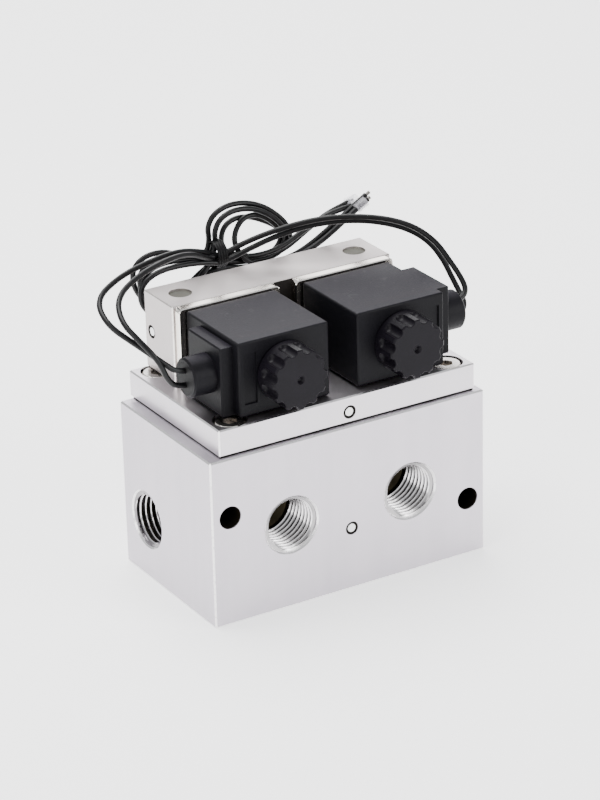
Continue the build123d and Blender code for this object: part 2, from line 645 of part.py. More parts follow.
def lead_sleeves():
    """Clear sleeves slipped over three of the lead ends."""
    sleeves = []
    for name, (overlap, past) in SLEEVES.items():
        end, way = tip_of(name)
        start = end - way * overlap
        stop = end + way * past
        bore = rod(LEAD_DIAMETER / 2 + 0.02, start - way, stop + way)
        sleeves.append(one(rod(SLEEVE_RADIUS, start, stop) - bore))
    return group(sleeves)


def lead_wires():
    """The short bare ends of the four leads."""
    wires = []
    for name in TAIL_ROUTES:
        end, way = tip_of(name)
        wires.append(rod(WIRE_RADIUS, end, end + way * WIRE_LENGTH))
    return group(wires)


def export(name, shape):
    export_step(shape, f"parts/{name}.step")


def main():
    os.makedirs("parts", exist_ok=True)
    export("valve_body", valve_body())
    export("plate_gasket", plate_gasket())
    export("pilot_plate", pilot_plate())
    export("plate_screws", plate_screws())
    export("pilot_block", pilot_block())
    export("block_seals", block_seals())
    export("block_screws", block_screws())
    export("drilling_plugs", drilling_plugs())
    for word, side in SIDES.items():
        for make in (
            spool, spool_seals, piston, piston_seal, return_spring, armature_tube, fixed_core,
            tube_seal, plunger, plunger_seal, plunger_spring, yoke_plate, coil_case, coil_frame,
            coil_bobbin, coil_winding, lead_grommet, coil_nut,
        ):
            export(f"{make.__name__}_{word}", make(side))
    for name in LEAD_ROUTES:
        export(f"lead_{name}", lead_tube(f"lead_{name}", LEAD_ROUTES[name]))
        export(f"lead_tail_{name}", lead_tube(f"lead_tail_{name}", TAIL_ROUTES[name]))
    export("lead_hank_upper", hank_loop(3.9, 70.0, 11.7, 8.1, -8, 27.0, 30.4))
    export("lead_hank_left", hank_loop(-17.4, 63.0, 11.3, 7.2, 12, 23.7, 29.0))
    export("lead_tie", lead_tie())
    export("lead_sleeves", lead_sleeves())
    export("lead_wires", lead_wires())


main()
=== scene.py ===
import json
import math

import bmesh
import bpy
from mathutils import Matrix, Vector


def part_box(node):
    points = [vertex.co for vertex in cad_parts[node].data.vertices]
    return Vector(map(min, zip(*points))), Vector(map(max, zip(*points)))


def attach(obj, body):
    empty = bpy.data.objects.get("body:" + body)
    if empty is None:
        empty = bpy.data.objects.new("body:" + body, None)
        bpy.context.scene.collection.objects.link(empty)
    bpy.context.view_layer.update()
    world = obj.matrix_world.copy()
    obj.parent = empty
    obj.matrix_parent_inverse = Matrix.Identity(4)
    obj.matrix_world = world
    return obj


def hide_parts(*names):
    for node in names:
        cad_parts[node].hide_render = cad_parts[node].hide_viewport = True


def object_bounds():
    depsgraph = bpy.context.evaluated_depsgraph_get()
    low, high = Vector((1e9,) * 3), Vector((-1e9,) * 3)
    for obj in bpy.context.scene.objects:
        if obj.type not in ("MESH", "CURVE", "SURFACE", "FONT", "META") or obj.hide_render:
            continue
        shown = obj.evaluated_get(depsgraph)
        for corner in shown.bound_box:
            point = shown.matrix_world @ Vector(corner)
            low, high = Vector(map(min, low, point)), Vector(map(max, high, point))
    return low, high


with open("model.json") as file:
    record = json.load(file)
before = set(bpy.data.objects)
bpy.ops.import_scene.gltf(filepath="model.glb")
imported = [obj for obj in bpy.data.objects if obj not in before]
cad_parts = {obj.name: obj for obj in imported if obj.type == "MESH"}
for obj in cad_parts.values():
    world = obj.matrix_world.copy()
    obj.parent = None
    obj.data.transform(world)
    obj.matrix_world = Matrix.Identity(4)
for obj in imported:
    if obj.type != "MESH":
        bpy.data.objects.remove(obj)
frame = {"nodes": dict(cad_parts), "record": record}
cad_low, cad_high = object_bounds()

MM = 0.001
ORIGIN = Vector((0, 0, 0))

# Camera: where it stands in metres, its azimuth, elevation and roll in degrees, and its lens
CAMERA_PLACE = (-0.3404, -0.57605, 0.3349)
CAMERA_TURN = (-30.54, 23.87, -1.52)
CAMERA_LENS = 146.06
SENSOR_WIDTH = 36

# Floor, in metres: half its width and how far it lies below the part
FLOOR_SIZE = 3
FLOOR_GAP = 0.00005

# Leads
LEAD_DIAMETER = 1.3
SLEEVE_BORE = 0.72
SLEEVE_WALL = 0.24
WIRE_RADIUS = 0.42
WIRE_ROOT = 0.8
TIE_PLACE = (-5.9, 26.35, 66.9)
TIE_WIDTH = 2.6
TIE_HALF_SIZE = (3.2, 3.0)
TIE_TURNS = 4
TIE_SWELL = 1.06
TIE_THICKNESS = 0.35

# Ports: G 1/4 thread. The ridge's half widths are shares of the pitch, its shoulder a step in radius
THREAD_PITCH = 1.337
THREAD_ROOT = 6.6
THREAD_CREST = 5.72
THREAD_SHOULDER = 0.2
ROOT_HALF = 0.42
SHOULDER_HALF = 0.19
CREST_HALF = 0.05
THREAD_TURNS = 8.5
THREAD_STEPS = 48
THREAD_START = 0.3
THREAD_LEAD_IN = 3.2

# Where the holes are: outlets on the front, galleries' ports on the ends, mounting holes through
OUTLET_X = 15.5
PORT_HEIGHT = 20
GALLERY_STEP = 5.5
GALLERY_Y = 10
MOUNT_HOLES = {"left": (-31, 26), "right": (31, 14)}

# Bore walls in painted shade: radius and depth from the mouth inward. The vented one stops short of a piston
BORE_SKIN = 0.02
PORT_BORE = ((6.56, 1.0), (6.56, 11.96), (5.66, 11.98), (2.64, 14.15))
VENTED_BORE = ((6.56, 1.0), (6.56, 11.1))
MOUNT_BORE = ((2.68, 0.35), (2.68, 40.5))

# Sealed pockets of the block's screws
POCKET_RADIUS = 2.62
POCKET_FILL = 0.35
POCKET_X = 22.8
POCKET_Y = 14.5
POCKET_THICKNESS = 0.8
DISH_STEPS = 3
DISH_STEP = 0.6
DISH_DROP = -0.03

# Dark sheet of painted shade behind the gap between the yokes: its lap behind each plate, and its front and
# back
STRIP_LAP = 0.4
STRIP_FRONT = 1.95
STRIP_SUNK = 0.2
STRIP_BELOW_TOP = 0.1
STRIP_EDGE = 0.04

# Drilling plugs
PLUG_FACE = 1.03
PLUG_HOLE = 1.59
GROOVE_SHADE_SUNK = 0.3
GROOVE_SHADE_THICKNESS = 0.15
BODY_PLUG_Z = 15
PLATE_PLUG_Z = 42.9
BLOCK_PLUG_Y = 18.1
BLOCK_PLUG_Z = 55.85


# ---------------------------------------------------------------- camera, lights and floor

def turned_to(azimuth, elevation, roll):
    """Axes of a camera that looks from that direction, as a matrix."""
    a, e, r = (math.radians(d) for d in (azimuth, elevation, roll))
    back = Vector((math.sin(a) * math.cos(e), -math.cos(a) * math.cos(e), math.sin(e)))
    right = Vector((math.cos(a), math.sin(a), 0))
    up = back.cross(right)
    across = math.cos(r) * right + math.sin(r) * up
    upward = math.cos(r) * up - math.sin(r) * right
    return Matrix((across, upward, back)).transposed()


def make_camera():
    data = bpy.data.cameras.new("camera")
    data.sensor_width = SENSOR_WIDTH
    data.lens = CAMERA_LENS
    data.clip_start = 0.01
    data.clip_end = 20
    camera = bpy.data.objects.new("camera", data)
    bpy.context.scene.collection.objects.link(camera)
    axes = turned_to(*CAMERA_TURN)
    camera.matrix_world = Matrix.Translation(CAMERA_PLACE) @ axes.to_4x4()
    bpy.context.scene.camera = camera


def softbox(name, place, target, size, power):
    data = bpy.data.lights.new(name, "AREA")
    data.shape = "RECTANGLE"
    data.size, data.size_y = size
    data.energy = power
    lamp = bpy.data.objects.new(name, data)
    bpy.context.scene.collection.objects.link(lamp)
    lamp.location = place
    lamp.rotation_euler = (Vector(target) - Vector(place)).to_track_quat("-Z", "Y").to_euler()


def make_studio():
    world = bpy.data.worlds.new("studio_air")
    bpy.context.scene.world = world
    world.use_nodes = True
    air = world.node_tree.nodes["Background"]
    air.inputs["Color"].default_value = (0.97, 0.98, 1, 1)
    air.inputs["Strength"].default_value = 0.8
    middle = (0, 0, 0.04)
    softbox("top_softbox", (-0.1, 0.25, 0.9), middle, (0.9, 0.7), 18)
    softbox("back_softbox", (0.5, 0.95, 0.5), middle, (0.9, 0.5), 5)
    softbox("left_softbox", (-0.9, -0.35, 0.5), middle, (0.6, 0.7), 5)
    softbox("front_softbox", (0.55, -0.95, 0.45), middle, (0.7, 0.6), 10)


def make_floor():
    bm = bmesh.new()
    bmesh.ops.create_grid(bm, x_segments=2, y_segments=2, size=FLOOR_SIZE)
    bmesh.ops.translate(bm, verts=bm.verts, vec=(0, 0, cad_low.z - FLOOR_GAP))
    floor = finished("studio_floor", bm)
    floor.data.materials.append(floor_paper())


# ---------------------------------------------------------------- mesh helpers

def finished(name, bm, smooth=None):
    """Links the bmesh as an object, shaded smooth below the angle smooth."""
    mesh = bpy.data.meshes.new(name)
    bm.to_mesh(mesh)
    bm.free()
    piece = bpy.data.objects.new(name, mesh)
    bpy.context.scene.collection.objects.link(piece)
    if smooth is not None:
        mesh.shade_smooth()
        mesh.set_sharp_from_angle(angle=math.radians(smooth))
    return piece


def dressed(piece, material, body="valve", stands_for=()):
    piece.data.materials.append(material)
    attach(piece, body)
    if stands_for:
        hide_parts(*stands_for)


def facing(axis):
    """Rotation that turns +Z onto axis."""
    return Vector((0, 0, 1)).rotation_difference(Vector(axis)).to_matrix().to_4x4()


# ---------------------------------------------------------------- shared effects as node groups

def new_group(name, inputs, outputs):
    tree = bpy.data.node_groups.new(name, "ShaderNodeTree")
    for label, kind, value in inputs:
        socket = tree.interface.new_socket(label, in_out="INPUT", socket_type="NodeSocket" + kind)
        if value is not None:
            socket.default_value = value
    for label in outputs:
        tree.interface.new_socket(label, in_out="OUTPUT", socket_type="NodeSocketFloat")
    return tree, tree.nodes.new("NodeGroupInput"), tree.nodes.new("NodeGroupOutput")


def node(tree, kind, **values):
    made = tree.nodes.new("ShaderNode" + kind)
    for key, value in values.items():
        if key in made.bl_rna.properties:
            setattr(made, key, value)
        else:
            made.inputs[key.replace("_", " ")].default_value = value
    return made


def make_grain_group():
    """Fine even grain: the bloom of an anodised skin or the spark finish of a mould."""
    tree, source, result = new_group(
        "fine_grain",
        [("Place", "Vector", None), ("Scale", "Float", 2500.0), ("Spread", "Float", 0.35)],
        ["Grain", "Pits"],
    )
    fine = node(tree, "TexNoise", Detail=3.0, Roughness=0.6)
    pits = node(tree, "TexVoronoi", Randomness=1.0)
    deep = node(tree, "MapRange", From_Min=0.05, From_Max=0.4)
    tree.links.new(source.outputs["Place"], fine.inputs["Vector"])
    tree.links.new(source.outputs["Scale"], fine.inputs["Scale"])
    tree.links.new(source.outputs["Place"], pits.inputs["Vector"])
    tree.links.new(source.outputs["Scale"], pits.inputs["Scale"])
    tree.links.new(pits.outputs["Distance"], deep.inputs["Value"])
    spread = node(tree, "Math", operation="MULTIPLY")
    tree.links.new(fine.outputs["Fac"], spread.inputs[0])
    tree.links.new(source.outputs["Spread"], spread.inputs[1])
    tree.links.new(spread.outputs["Value"], result.inputs["Grain"])
    tree.links.new(deep.outputs["Result"], result.inputs["Pits"])
    return tree


def make_marks_group():
    """Broad soft marks from handling, with a few brighter rubs."""
    tree, source, result = new_group(
        "handling_marks",
        [("Place", "Vector", None), ("Scale", "Float", 60.0)],
        ["Marks", "Rubs"],
    )
    broad = node(tree, "TexNoise", Detail=4.0, Roughness=0.55, Distortion=0.4)
    soft = node(tree, "MapRange", From_Min=0.3, From_Max=0.72)
    times = node(tree, "Math", operation="MULTIPLY")
    times.inputs[1].default_value = 6.5
    small = node(tree, "TexNoise", Detail=2.0, Roughness=0.5, Distortion=1.2)
    sparse = node(tree, "MapRange", From_Min=0.62, From_Max=0.74)
    tree.links.new(source.outputs["Place"], broad.inputs["Vector"])
    tree.links.new(source.outputs["Scale"], broad.inputs["Scale"])
    tree.links.new(broad.outputs["Fac"], soft.inputs["Value"])
    tree.links.new(source.outputs["Scale"], times.inputs[0])
    tree.links.new(times.outputs["Value"], small.inputs["Scale"])
    tree.links.new(source.outputs["Place"], small.inputs["Vector"])
    tree.links.new(small.outputs["Fac"], sparse.inputs["Value"])
    tree.links.new(soft.outputs["Result"], result.inputs["Marks"])
    tree.links.new(sparse.outputs["Result"], result.inputs["Rubs"])
    return tree


def make_lines_group():
    """Drawn, milled or turned lines: noise pulled out along one direction."""
    tree, source, result = new_group(
        "tool_lines",
        [("Place", "Vector", None), ("Scale", "Float", 400.0)],
        ["Lines", "Streaks"],
    )
    fine = node(tree, "TexNoise", Detail=5.0, Roughness=0.7)
    wide = node(tree, "TexNoise", Detail=2.0, Roughness=0.5)
    third = node(tree, "Math", operation="MULTIPLY")
    third.inputs[1].default_value = 0.22
    clear = node(tree, "MapRange", From_Min=0.35, From_Max=0.68)
    tree.links.new(source.outputs["Place"], fine.inputs["Vector"])
    tree.links.new(source.outputs["Scale"], fine.inputs["Scale"])
    tree.links.new(source.outputs["Scale"], third.inputs[0])
    tree.links.new(third.outputs["Value"], wide.inputs["Scale"])
    tree.links.new(source.outputs["Place"], wide.inputs["Vector"])
    tree.links.new(wide.outputs["Fac"], clear.inputs["Value"])
    tree.links.new(fine.outputs["Fac"], result.inputs["Lines"])
    tree.links.new(clear.outputs["Result"], result.inputs["Streaks"])
    return tree


def make_edge_highlight_group():
    """Painted highlight where a surface turns away from the main directions: chamfers and rounded edges are
    painted bright, as if they caught the light.
    """
    tree, source, result = new_group(
        "painted_edge_highlights",
        [("Place", "Vector", None), ("Scale", "Float", 900.0), ("Ways", "Vector", None),
         ("Flat", "Float", 0.97), ("Turned", "Float", 0.8)],
        ["Edge"],
    )
    facet = node(tree, "NewGeometry")
    upright = node(tree, "VectorMath", operation="ABSOLUTE")
    counted = node(tree, "VectorMath", operation="MULTIPLY")
    parts = node(tree, "SeparateXYZ")
    first = node(tree, "Math", operation="MAXIMUM")
    most = node(tree, "Math", operation="MAXIMUM")
    turned_off = node(tree, "MapRange")
    nicks = node(tree, "TexNoise", Detail=3.0, Roughness=0.6)
    strength = node(tree, "MapRange", From_Min=0.3, From_Max=0.5, To_Min=0.45, To_Max=1.0)
    edge = node(tree, "Math", operation="MULTIPLY")
    tree.links.new(facet.outputs["True Normal"], upright.inputs[0])
    tree.links.new(upright.outputs["Vector"], counted.inputs[0])
    tree.links.new(source.outputs["Ways"], counted.inputs[1])
    tree.links.new(counted.outputs["Vector"], parts.inputs["Vector"])
    tree.links.new(parts.outputs["X"], first.inputs[0])
    tree.links.new(parts.outputs["Y"], first.inputs[1])
    tree.links.new(first.outputs["Value"], most.inputs[0])
    tree.links.new(parts.outputs["Z"], most.inputs[1])
    tree.links.new(most.outputs["Value"], turned_off.inputs["Value"])
    tree.links.new(source.outputs["Flat"], turned_off.inputs["From Min"])
    tree.links.new(source.outputs["Turned"], turned_off.inputs["From Max"])
    tree.links.new(source.outputs["Place"], nicks.inputs["Vector"])
    tree.links.new(source.outputs["Scale"], nicks.inputs["Scale"])
    tree.links.new(nicks.outputs["Fac"], strength.inputs["Value"])
    tree.links.new(turned_off.outputs["Result"], edge.inputs[0])
    tree.links.new(strength.outputs["Result"], edge.inputs[1])
    tree.links.new(edge.outputs["Value"], result.inputs["Edge"])
    return tree


def make_top_sheen_group():
    """Painted sheen: faces turned upward are painted lighter, as if lit from above, thinner in patches."""
    tree, source, result = new_group(
        "painted_top_sheen",
        [("Place", "Vector", None), ("Scale", "Float", 180.0)],
        ["Dust"],
    )
    facet = node(tree, "NewGeometry")
    parts = node(tree, "SeparateXYZ")
    upward = node(tree, "MapRange", From_Min=0.8, From_Max=0.995)
    patches = node(tree, "TexNoise", Detail=6.0, Roughness=0.65, Distortion=0.3)
    thin = node(tree, "MapRange", From_Min=0.25, From_Max=0.75, To_Min=0.7, To_Max=1.0)
    top_sheen = node(tree, "Math", operation="MULTIPLY")
    tree.links.new(facet.outputs["Normal"], parts.inputs["Vector"])
    tree.links.new(parts.outputs["Z"], upward.inputs["Value"])
    tree.links.new(source.outputs["Place"], patches.inputs["Vector"])
    tree.links.new(source.outputs["Scale"], patches.inputs["Scale"])
    tree.links.new(patches.outputs["Fac"], thin.inputs["Value"])
    tree.links.new(upward.outputs["Result"], top_sheen.inputs[0])
    tree.links.new(thin.outputs["Result"], top_sheen.inputs[1])
    tree.links.new(top_sheen.outputs["Value"], result.inputs["Dust"])
    return tree


GRAIN = make_grain_group()
TOP_SHEEN = make_top_sheen_group()
EDGES = make_edge_highlight_group()
MARKS = make_marks_group()
LINES = make_lines_group()


def placed(tree, group, place, **values):
    made = tree.nodes.new("ShaderNodeGroup")
    made.node_tree = group
    tree.links.new(place, made.inputs["Place"])
    for key, value in values.items():
        made.inputs[key].default_value = value
    return made


def new_material(name):
    material = bpy.data.materials.new(name)
    material.use_nodes = True
    tree = material.node_tree
    shader = tree.nodes["Principled BSDF"]
    place = tree.nodes.new("ShaderNodeTexCoord").outputs["Object"]
    return material, tree, shader, place


def between(tree, factor, low, high):
    """A value that runs from low to high as factor goes from 0 to 1."""
    made = node(tree, "MapRange", To_Min=low, To_Max=high)
    tree.links.new(factor, made.inputs["Value"])
    return made.outputs["Result"]


def tinted(tree, factor, low, high):
    """A colour that runs from low to high as factor goes from 0 to 1."""
    made = node(tree, "Mix", data_type="RGBA")
    made.inputs[6].default_value = (*low, 1)
    made.inputs[7].default_value = (*high, 1)
    tree.links.new(factor, made.inputs[0])
    return made.outputs[2]


def mixed(tree, factor, colour, over):
    """colour, with over laid on it where factor is 1."""
    made = node(tree, "Mix", data_type="RGBA")
    made.inputs[7].default_value = over
    tree.links.new(factor, made.inputs[0])
    tree.links.new(colour, made.inputs[6])
    return made.outputs[2]


def blended(tree, factor, value, over):
    """value, going to over where factor is 1."""
    made = node(tree, "Mix", data_type="FLOAT")
    made.inputs[3].default_value = over
    tree.links.new(factor, made.inputs[0])
    tree.links.new(value, made.inputs[2])
    return made.outputs[0]


def added(tree, first, second, share):
    """first plus share times second."""
    made = node(tree, "Math", operation="MULTIPLY_ADD")
    made.inputs[1].default_value = share
    tree.links.new(second, made.inputs[0])
    tree.links.new(first, made.inputs[2])
    return made.outputs["Value"]


def raised(tree, shader, height, distance, strength=1.0):
    bump = node(tree, "Bump", Strength=strength, Distance=distance)
    tree.links.new(height, bump.inputs["Height"])
    tree.links.new(bump.outputs["Normal"], shader.inputs["Normal"])


def stretched(tree, place, scale):
    mapping = node(tree, "Mapping")
    mapping.inputs["Scale"].default_value = scale
    tree.links.new(place, mapping.inputs["Vector"])
    return mapping.outputs["Vector"]


# ---------------------------------------------------------------- finishes

def metal(name, light, dark, smooth, rough, line_way=(1, 1, 1), line_scale=500.0,
          grain_scale=3000.0, depth=0.00001, line_share=0.5, edge_highlight=None, ways=(1, 1, 1), flat=0.97,
          turned=0.8):
    """A metal skin: fine grain, tool lines along one way, marks in its gloss and painted highlights on its
    edges.

    A face counts as an edge when its normal's part along the given ways falls from flat to turned.
    """
    material, tree, shader, place = new_material(name)
    grain = placed(tree, GRAIN, place, Scale=grain_scale, Spread=1.0)
    marks = placed(tree, MARKS, place, Scale=70.0)
    lines = placed(tree, LINES, stretched(tree, place, line_way), Scale=line_scale)
    tone = added(tree, marks.outputs["Marks"], lines.outputs["Streaks"], line_share)
    shade = added(tree, between(tree, tone, 0.0, 0.7), grain.outputs["Grain"], 0.3)
    colour = tinted(tree, shade, dark, light)
    gloss = added(tree, between(tree, marks.outputs["Marks"], 0.0, 0.7), grain.outputs["Grain"], 0.5)
    roughness = between(tree, gloss, smooth, rough)
    if edge_highlight:
        # Painted highlight: edges and chamfers take the given light colour, as if they caught the light.
        edge = placed(tree, EDGES, place, Ways=ways, Flat=flat, Turned=turned).outputs["Edge"]
        colour = mixed(tree, edge, colour, (*edge_highlight, 1))
        roughness = blended(tree, edge, roughness, smooth * 0.7)
    tree.links.new(colour, shader.inputs["Base Color"])
    tree.links.new(roughness, shader.inputs["Roughness"])
    shader.inputs["Metallic"].default_value = 1.0
    raised(tree, shader, added(tree, grain.outputs["Grain"], lines.outputs["Lines"], 1.5), depth, 0.6)
    return material


def thread_metal(name, light, dark, crest, along):
    """Cut thread: flanks painted dark as shade inside the port, and crests painted bright as a highlight;
    along is the port's own axis.
    """
    return metal(name, light, dark, 0.16, 0.3, line_scale=1500.0, depth=0.000008,
                 edge_highlight=crest, ways=along, flat=0.88, turned=0.76)


def moulded(name, colour, worn, smooth, rough, grain_scale=2200.0, depth=0.00003, specular=0.4,
            top_sheen=None):
    """A moulded plastic with a spark grain, slightly polished where hands have been, and an optional painted
    sheen on faces turned upward.
    """
    material, tree, shader, place = new_material(name)
    grain = placed(tree, GRAIN, place, Scale=grain_scale, Spread=1.0)
    marks = placed(tree, MARKS, place, Scale=90.0)
    shade = added(tree, between(tree, marks.outputs["Marks"], 0.0, 0.5), grain.outputs["Grain"], 0.6)
    skin = tinted(tree, shade, colour, worn)
    if top_sheen:
        # Painted sheen: upward faces lighten towards the given colour, as if lit from above.
        skin = mixed(tree, placed(tree, TOP_SHEEN, place).outputs["Dust"], skin, (*top_sheen, 1))
    tree.links.new(skin, shader.inputs["Base Color"])
    gloss = added(tree, between(tree, marks.outputs["Rubs"], 0.4, 0.0), grain.outputs["Grain"], 0.6)
    tree.links.new(between(tree, gloss, smooth, rough), shader.inputs["Roughness"])
    shader.inputs["Specular IOR Level"].default_value = specular
    raised(tree, shader, added(tree, grain.outputs["Grain"], grain.outputs["Pits"], 0.6), depth, 0.7)
    return material


def wound(name, light, dark, pitch):
    """Enamelled wire laid turn by turn along the coil."""
    material, tree, shader, place = new_material(name)
    turns = node(tree, "TexWave", wave_type="BANDS", bands_direction="Y", Scale=1 / pitch / 20)
    tree.links.new(place, turns.inputs["Vector"])
    marks = placed(tree, MARKS, place, Scale=200.0)
    tone = added(tree, turns.outputs["Fac"], marks.outputs["Marks"], 0.4)
    tree.links.new(tinted(tree, tone, dark, light), shader.inputs["Base Color"])
    tree.links.new(between(tree, marks.outputs["Marks"], 0.22, 0.4), shader.inputs["Roughness"])
    shader.inputs["Metallic"].default_value = 0.8
    raised(tree, shader, turns.outputs["Fac"], pitch * 0.3)
    return material


def clear_sleeve(name):
    """Milky shrink sleeve, thin enough that what is inside shows through."""
    material, tree, shader, place = new_material(name)
    marks = placed(tree, MARKS, place, Scale=400.0)
    tree.links.new(tinted(tree, marks.outputs["Marks"], (0.45, 0.44, 0.48), (0.75, 0.74, 0.78)),
                   shader.inputs["Base Color"])
    tree.links.new(between(tree, marks.outputs["Marks"], 0.25, 0.42), shader.inputs["Roughness"])
    tree.links.new(between(tree, marks.outputs["Marks"], 0.14, 0.4), shader.inputs["Alpha"])
    raised(tree, shader, marks.outputs["Marks"], 0.00004)
    return material


def floor_paper():
    material, tree, shader, place = new_material("floor_paper")
    grain = placed(tree, GRAIN, place, Scale=900.0, Spread=1.0)
    tree.links.new(tinted(tree, grain.outputs["Grain"], (0.9, 0.9, 0.9), (0.94, 0.94, 0.94)),
                   shader.inputs["Base Color"])
    shader.inputs["Emission Color"].default_value = (1, 1, 1, 1)
    shader.inputs["Emission Strength"].default_value = 0.9
    shader.inputs["Roughness"].default_value = 0.9
    shader.inputs["Specular IOR Level"].default_value = 0.1
    return material


def make_finishes():
    along_z = (1, 1, 0.04)
    along_x = (0.04, 1, 1)
    # This light grey is the painted highlight on the edges of the anodised parts.
    bright = (0.88, 0.87, 0.87)
    return {
        "body_anodised": metal("silver_anodised_body", (0.60, 0.565, 0.61), (0.52, 0.49, 0.535), 0.34, 0.48,
                               line_way=along_z, line_scale=900.0, depth=0.000010, edge_highlight=bright),
        "plate_anodised": metal("silver_anodised_plate", (0.64, 0.605, 0.64), (0.55, 0.52, 0.555), 0.24, 0.38,
                                line_way=along_x, line_scale=900.0, depth=0.000008, edge_highlight=bright),
        # Thread colours are painted shade inside the ports, darker for the end ports, with a painted
        # highlight on the crests.
        "front_thread": thread_metal("cut_thread_front", (0.42, 0.41, 0.415), (0.26, 0.25, 0.255),
                                     (0.95, 0.93, 0.94), (0, 1, 0)),
        "end_thread": thread_metal("cut_thread_ends", (0.28, 0.265, 0.28), (0.16, 0.15, 0.16),
                                   (0.7, 0.68, 0.7), (1, 0, 0)),
        # Painted shade: a near-black brown lining for the insides of the drilled holes.
        "bore_wall": metal("painted_shade_bore_wall", (0.055, 0.045, 0.028), (0.02, 0.016, 0.01), 0.35, 0.6,
                           line_scale=900.0, depth=0.00002),
        "block_nickel": metal("satin_nickel_block", (0.53, 0.49, 0.485), (0.45, 0.415, 0.41), 0.34, 0.5,
                              line_way=along_x, depth=0.000012, edge_highlight=(0.85, 0.81, 0.77)),
        "yoke_nickel": metal("bright_nickel_yoke", (0.86, 0.81, 0.75), (0.76, 0.7, 0.64), 0.1, 0.22,
                             line_way=along_z, depth=0.000001, line_share=0.1, edge_highlight=(0.97, 0.94, 0.9)),
        "screw_steel": metal("bright_zinc_screws", (0.6, 0.57, 0.55), (0.34, 0.32, 0.31), 0.16, 0.34,
                             line_scale=1500.0, depth=0.000008, edge_highlight=(0.85, 0.82, 0.76)),
        "plug_steel": metal("polished_plug_faces", (0.8, 0.8, 0.8), (0.66, 0.66, 0.66), 0.2, 0.36,
                            depth=0.000008),
        "magnet_steel": metal("ground_magnet_steel", (0.55, 0.55, 0.56), (0.4, 0.4, 0.41), 0.25, 0.42,
                              line_way=(1, 0.05, 1)),
        "spring_steel": metal("drawn_spring_wire", (0.66, 0.66, 0.67), (0.45, 0.45, 0.46), 0.2, 0.36),
        "tube_brass": metal("turned_brass_tube", (0.78, 0.6, 0.3), (0.6, 0.44, 0.2), 0.2, 0.36,
                            line_way=(0.1, 1, 0.1), line_scale=2500.0),
        "winding_copper": wound("enamelled_copper_winding", (0.75, 0.36, 0.18), (0.4, 0.15, 0.06), 0.00022),
        "wire_tinned": metal("tinned_wire_ends", (0.2, 0.19, 0.18), (0.07, 0.065, 0.06), 0.3, 0.5,
                             line_scale=3000.0, depth=0.00002),
        "spool_aluminium": metal("hard_anodised_spool", (0.6, 0.61, 0.63), (0.48, 0.49, 0.51), 0.28, 0.42,
                                 line_way=(0.1, 0.1, 1), line_scale=2500.0),
        "piston_acetal": moulded("white_acetal_piston", (0.74, 0.73, 0.69), (0.82, 0.81, 0.77), 0.35, 0.5,
                                 depth=0.00001),
        # The last colour is a painted top sheen on the upward faces of the coil cases.
        "coil_plastic": moulded("black_coil_moulding", (0.0018, 0.0017, 0.0024), (0.005, 0.0047, 0.0066),
                                0.36, 0.54, specular=0.1, top_sheen=(0.011, 0.0095, 0.014)),
        "nut_plastic": moulded("black_nut_moulding", (0.0024, 0.0019, 0.003), (0.006, 0.005, 0.0075),
                               0.26, 0.44, grain_scale=2600.0, depth=0.00002, specular=0.1),
        "bobbin_plastic": moulded("natural_bobbin_moulding", (0.72, 0.7, 0.63), (0.8, 0.78, 0.71), 0.4, 0.55,
                                  depth=0.00001),
        "wrap_plastic": moulded("black_wrap", (0.0012, 0.0012, 0.0014), (0.004, 0.004, 0.0045), 0.3, 0.5,
                                grain_scale=4000.0, depth=0.00002, specular=0.15),
        "lead_insulation": moulded("black_lead_insulation", (0.0015, 0.0015, 0.0018), (0.0045, 0.0045, 0.005),
                                   0.22, 0.38, grain_scale=3500.0, depth=0.000012, specular=0.2),
        "pocket_seal": moulded("olive_sealing_compound", (0.07, 0.068, 0.056), (0.095, 0.092, 0.078),
                               0.45, 0.65, depth=0.00001, specular=0.25),
        "sleeve_clear": clear_sleeve("milky_shrink_sleeve"),
        # Black rubber for the gasket, also used as painted shade in the yoke gap and the plug grooves.
        "gasket_rubber": moulded("gasket_rubber_and_painted_shade", (0.004, 0.0035, 0.003), (0.012, 0.01, 0.009), 0.6, 0.8,
                                 specular=0.1),
        "seal_rubber": moulded("seal_rubber_skin", (0.012, 0.012, 0.012), (0.03, 0.03, 0.03), 0.45, 0.65),
        "grommet_rubber": moulded("grommet_rubber_skin", (0.003, 0.003, 0.003), (0.008, 0.008, 0.009),
                                  0.5, 0.7, specular=0.2),
    }


FINISHES = make_finishes()


def dress_cad_nodes():
    """Each CAD node wears the finish of its material slot."""
    slots = {row["node"]: row["material_slot"] for row in frame["record"]["subparts"]}
    for name, piece in frame["nodes"].items():
        piece.data.materials.clear()
        piece.data.materials.append(FINISHES[slots[name]])


# ---------------------------------------------------------------- leads

